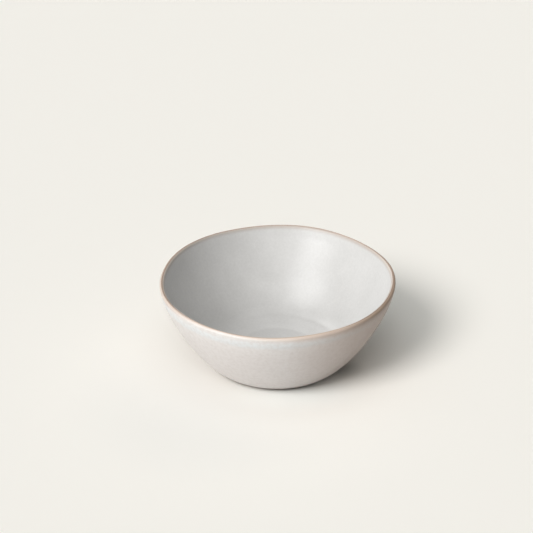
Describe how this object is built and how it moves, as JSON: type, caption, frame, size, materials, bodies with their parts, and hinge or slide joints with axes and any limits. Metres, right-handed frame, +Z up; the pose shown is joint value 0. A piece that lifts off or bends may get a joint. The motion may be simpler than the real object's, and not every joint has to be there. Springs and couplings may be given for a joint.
{
  "type": "breakfast bowl",
  "caption": "Round glazed stoneware breakfast bowl with a swelling wall, a bare rounded lip and a low turned foot ring, standing free on a table.",
  "frame": {"origin": "centre of the foot ring's resting face, on the table", "axes": "+Z up along the bowl's turning axis, -Y towards the side that the picture shows in front"},
  "size_m": [0.1598, 0.16, 0.0623],
  "materials": {
    "fired_clay": "bare fired stoneware clay, tan, matt",
    "inside_glaze": "cool white satin glaze",
    "outside_glaze": "warm beige satin glaze, cooler and whiter just under the lip",
    "underside_glaze": "warm beige satin glaze inside the foot ring"
  },
  "bodies": {
    "root": {"stoneware_body": "fired_clay", "inside_glaze": "inside_glaze", "outside_glaze": "outside_glaze", "underside_glaze": "underside_glaze"}
  },
  "joints": []
}
